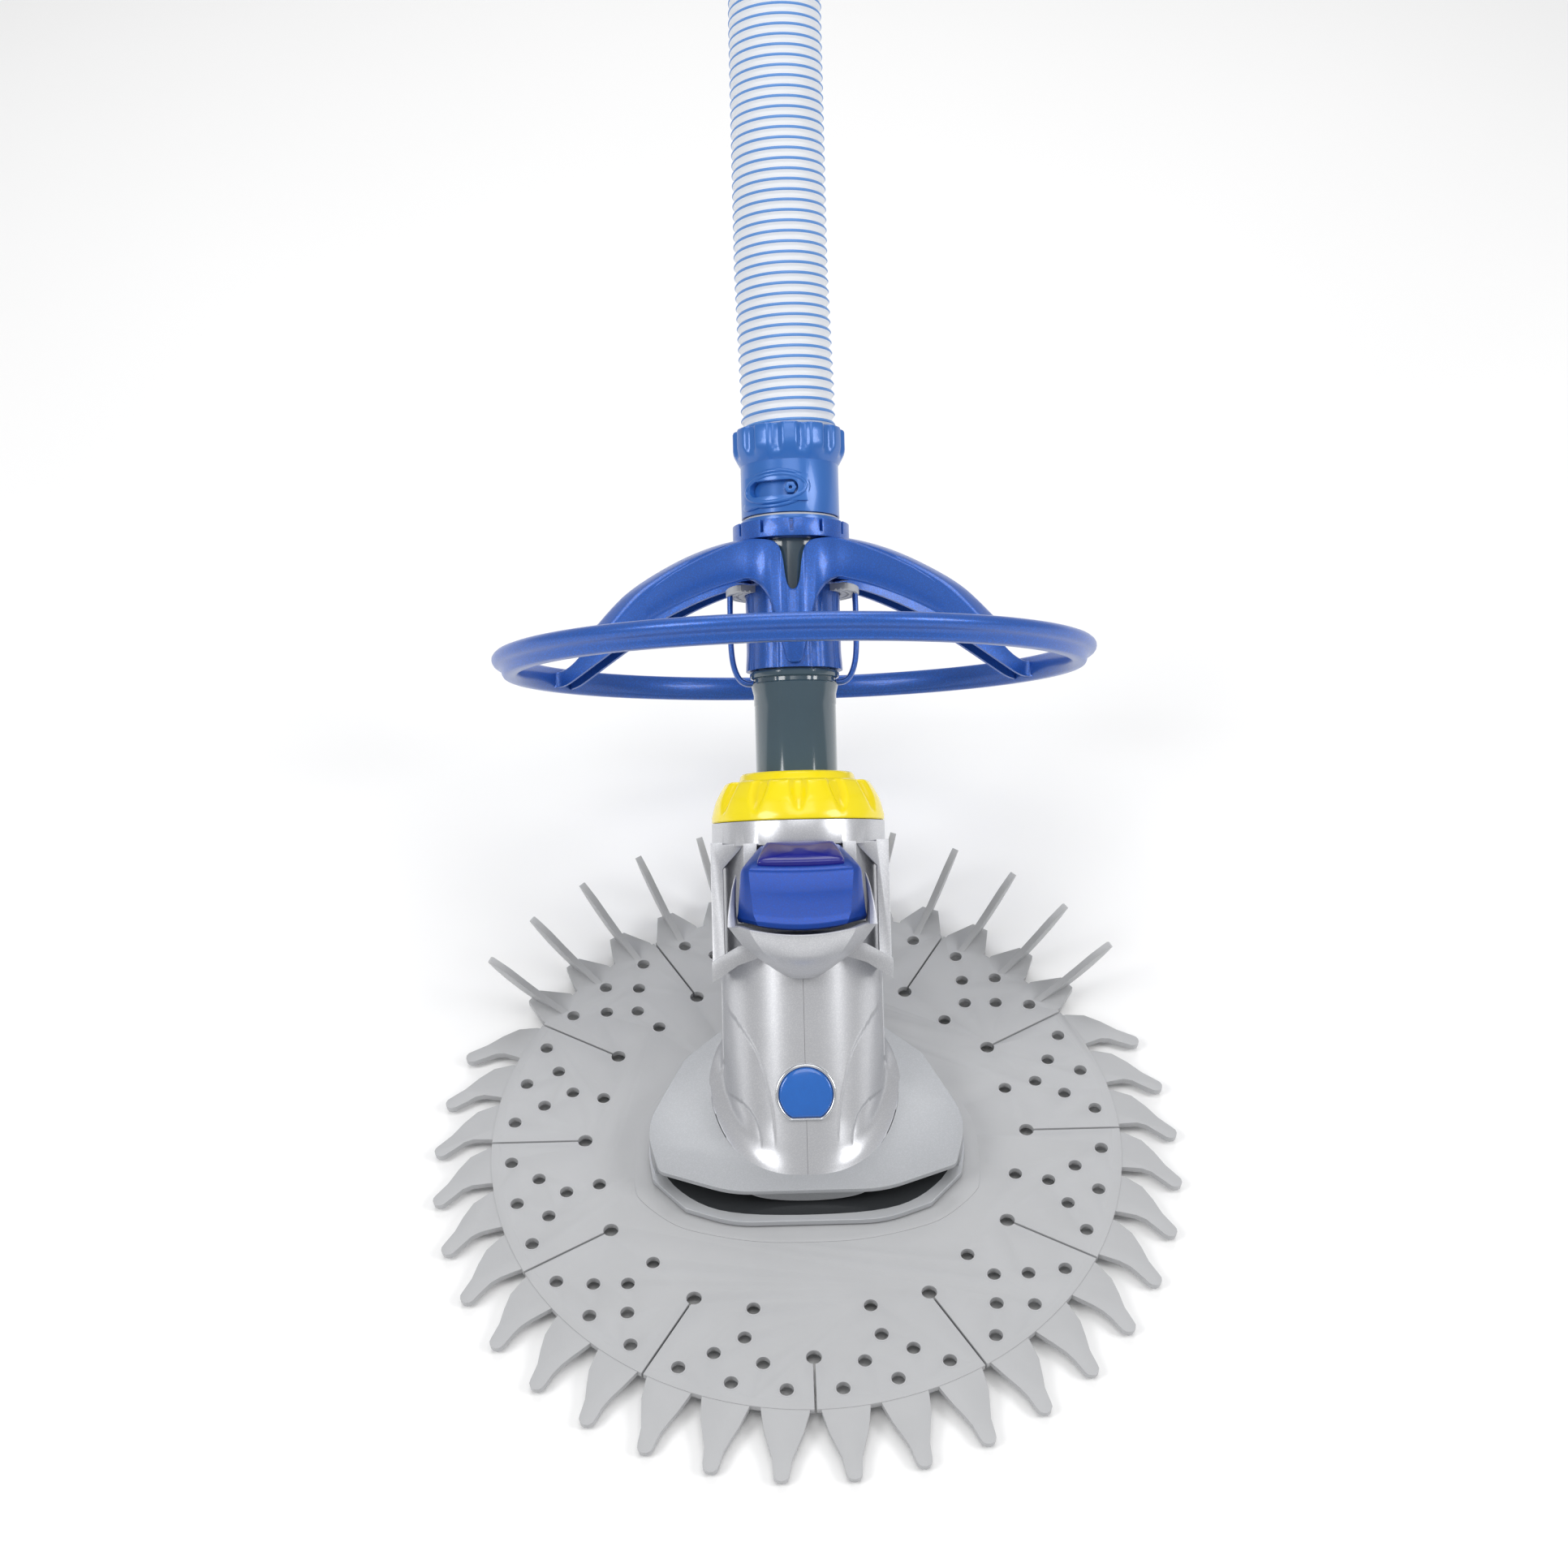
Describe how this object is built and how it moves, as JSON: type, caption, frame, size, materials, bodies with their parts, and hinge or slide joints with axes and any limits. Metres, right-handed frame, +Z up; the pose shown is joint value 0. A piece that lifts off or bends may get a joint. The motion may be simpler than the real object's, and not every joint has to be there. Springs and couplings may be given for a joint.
{
  "type": "pool cleaner",
  "caption": "Suction pool cleaner: a leaning body on a round finned disc, with a nose bumper, a ring-shaped deflector wheel, a screw nut, a twist-lock cuff and a ribbed hose.",
  "frame": {"origin": "on the axis of the suction throat, at the level of the floor that the foot stands on", "axes": "+Z up along the throat axis, -Y to the front (the side of the mouth, badge and nose), +X to the right seen from behind, the pipe leans back 45 degrees from +Z towards +Y"},
  "size_m": [0.4076, 0.7617, 0.5633],
  "materials": {
    "foot_rubber": "matt moulded rubber",
    "disc_rubber": "satin soft moulded sheet",
    "body_plastic": "silver pigment, fine satin sheen",
    "lip_plastic": "silver pigment, smooth",
    "bush_plastic": "smooth slippery plastic",
    "steel": "stainless screw",
    "trim_metal": "bright ring",
    "badge_plastic": "domed clear lacquer over blue",
    "cap_plastic": "pearl blue",
    "lens_plastic": "clear domed lacquer over dark blue",
    "weight_iron": "rough casting",
    "black_rubber": "matt",
    "nut_plastic": "bright yellow, glossy",
    "pipe_plastic": "dark grey-blue tube",
    "inner_pipe_plastic": "extruded tube",
    "wheel_plastic": "pearl blue with fine flakes",
    "grey_plastic": "smooth washer",
    "cuff_plastic": "soft sheen blue",
    "hose_plastic": "ribbed, pale grey with blue lines"
  },
  "bodies": {
    "cleaner_body": {"throat_neck": "body_plastic", "foot_retaining_ring": "body_plastic", "mouth_plate": "lip_plastic", "flange_plate": "body_plastic", "body_left_shell": "body_plastic", "body_right_shell": "body_plastic", "body_screws": "steel", "badge_bezel": "trim_metal", "badge": "badge_plastic", "head_frame": "body_plastic", "bumper_cradle": "body_plastic", "bumper_cap": "cap_plastic", "cap_lens": "lens_plastic", "nose_weight": "weight_iron", "cassette_guide": "bush_plastic", "diaphragm": "black_rubber", "diaphragm_ring": "bush_plastic", "nut_gasket": "black_rubber", "outer_pipe": "pipe_plastic", "inner_pipe": "inner_pipe_plastic", "inner_pipe_seal": "black_rubber", "lock_ring": "wheel_plastic"},
    "foot": {"foot_pad": "foot_rubber"},
    "disc": {"finned_disc": "disc_rubber", "disc_bush": "bush_plastic"},
    "nut": {"retaining_nut": "nut_plastic"},
    "wheel": {"deflector_wheel": "wheel_plastic", "hub_retainer_ring": "grey_plastic", "snap_clips": "wheel_plastic"},
    "adaptor": {"swivel_adaptor": "cuff_plastic", "lock_pin": "cuff_plastic", "swivel_seal": "grey_plastic"},
    "cuff": {"swivel_cuff": "cuff_plastic", "cuff_collar": "cuff_plastic", "hose": "hose_plastic", "hose_end_cuff": "cuff_plastic"}
  },
  "joints": [
    {"name": "foot_spin", "type": "hinge", "parent": "cleaner_body", "child": "foot", "pos_m": [0, 0, 0.0045], "axis": [0, 0, 1], "continuous": true},
    {"name": "disc_spin", "type": "hinge", "parent": "cleaner_body", "child": "disc", "pos_m": [0, 0, 0.008], "axis": [0, 0, 1], "continuous": true},
    {"name": "nut_turn", "type": "hinge", "parent": "cleaner_body", "child": "nut", "pos_m": [0, 0.1294, 0.1394], "axis": [0, 0.7071, 0.7071], "range_deg": [0, 90]},
    {"name": "wheel_spin", "type": "hinge", "parent": "cleaner_body", "child": "wheel", "pos_m": [0, 0.18455, 0.19455], "axis": [0, 0.7071, 0.7071], "continuous": true},
    {"name": "hose_swivel", "type": "hinge", "parent": "cleaner_body", "child": "adaptor", "pos_m": [0, 0.24395, 0.25395], "axis": [0, 0.7071, 0.7071], "continuous": true},
    {"name": "twist_lock", "type": "hinge", "parent": "adaptor", "child": "cuff", "pos_m": [0, 0.25102, 0.26102], "axis": [0, 0.7071, 0.7071], "range_deg": [0, 42]}
  ]
}
